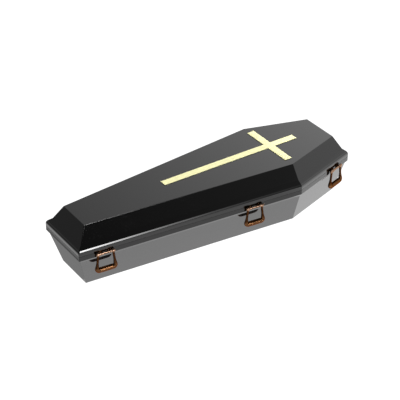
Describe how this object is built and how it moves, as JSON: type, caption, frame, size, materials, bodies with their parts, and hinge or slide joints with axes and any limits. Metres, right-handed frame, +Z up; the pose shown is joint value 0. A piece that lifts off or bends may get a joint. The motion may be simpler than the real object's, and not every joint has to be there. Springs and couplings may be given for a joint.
{
  "type": "wooden coffin",
  "caption": "Closed wooden coffin in gloss black, hollow inside, widest at the shoulders, with a raised bevelled lid that lifts off, a pale cross on it and swinging bail handles.",
  "frame": {"origin": "middle of the underside of the base board, at the middle of the coffin's length", "axes": "+X towards the head end, +Z up, -Y towards the coffin's right side as seen from the foot"},
  "size_m": [1.95, 0.682, 0.3905],
  "materials": {
    "black_lacquer": "wooden boards and mouldings under gloss black lacquer",
    "inside_board": "bare planed board",
    "cream_cross": "thin board, pale cream paint",
    "aged_copper": "copper-plated casting, darkened in the recesses and rubbed bright on the grip"
  },
  "bodies": {
    "root": {"base_board": "inside_board", "foot_rail": "black_lacquer", "foot_wall": "black_lacquer", "head_rail": "black_lacquer", "head_wall": "black_lacquer", "left_foot_lug_1": "aged_copper", "left_foot_lug_2": "aged_copper", "left_foot_rod": "aged_copper", "left_long_rail": "black_lacquer", "left_long_wall": "black_lacquer", "left_shoulder_lug_1": "aged_copper", "left_shoulder_lug_2": "aged_copper", "left_shoulder_rail": "black_lacquer", "left_shoulder_rod": "aged_copper", "left_shoulder_wall": "black_lacquer", "left_waist_lug_1": "aged_copper", "left_waist_lug_2": "aged_copper", "left_waist_rod": "aged_copper", "lid_cross": "cream_cross", "lid_foot_lip": "black_lacquer", "lid_foot_slope": "black_lacquer", "lid_head_lip": "black_lacquer", "lid_head_slope": "black_lacquer", "lid_left_long_lip": "black_lacquer", "lid_left_long_slope": "black_lacquer", "lid_left_shoulder_lip": "black_lacquer", "lid_left_shoulder_slope": "black_lacquer", "lid_panel": "black_lacquer", "lid_right_long_lip": "black_lacquer", "lid_right_long_slope": "black_lacquer", "lid_right_shoulder_lip": "black_lacquer", "lid_right_shoulder_slope": "black_lacquer", "right_foot_lug_1": "aged_copper", "right_foot_lug_2": "aged_copper", "right_foot_rod": "aged_copper", "right_long_rail": "black_lacquer", "right_long_wall": "black_lacquer", "right_shoulder_lug_1": "aged_copper", "right_shoulder_lug_2": "aged_copper", "right_shoulder_rail": "black_lacquer", "right_shoulder_rod": "aged_copper", "right_shoulder_wall": "black_lacquer", "right_waist_lug_1": "aged_copper", "right_waist_lug_2": "aged_copper", "right_waist_rod": "aged_copper"},
    "right_foot_bail": {"right_foot_bail": "aged_copper"},
    "right_waist_bail": {"right_waist_bail": "aged_copper"},
    "right_shoulder_bail": {"right_shoulder_bail": "aged_copper"},
    "left_foot_bail": {"left_foot_bail": "aged_copper"},
    "left_waist_bail": {"left_waist_bail": "aged_copper"},
    "left_shoulder_bail": {"left_shoulder_bail": "aged_copper"}
  },
  "joints": [
    {"name": "right_foot_bail_swing", "type": "hinge", "parent": "root", "child": "right_foot_bail", "pos_m": [-0.81802, -0.2232, 0.232], "axis": [-0.9951, 0.0991, 0], "range_deg": [-14, 190]},
    {"name": "right_waist_bail_swing", "type": "hinge", "parent": "root", "child": "right_waist_bail", "pos_m": [0.15516, -0.32012, 0.232], "axis": [-0.9951, 0.0991, 0], "range_deg": [-14, 190]},
    {"name": "right_shoulder_bail_swing", "type": "hinge", "parent": "root", "child": "right_shoulder_bail", "pos_m": [0.8311, -0.24938, 0.232], "axis": [-0.9557, -0.2942, 0], "range_deg": [-14, 190]},
    {"name": "left_foot_bail_swing", "type": "hinge", "parent": "root", "child": "left_foot_bail", "pos_m": [-0.81802, 0.2232, 0.232], "axis": [0.9951, 0.0991, 0], "range_deg": [-14, 190]},
    {"name": "left_waist_bail_swing", "type": "hinge", "parent": "root", "child": "left_waist_bail", "pos_m": [0.15516, 0.32012, 0.232], "axis": [0.9951, 0.0991, 0], "range_deg": [-14, 190]},
    {"name": "left_shoulder_bail_swing", "type": "hinge", "parent": "root", "child": "left_shoulder_bail", "pos_m": [0.8311, 0.24938, 0.232], "axis": [0.9557, -0.2942, 0], "range_deg": [-14, 190]}
  ]
}
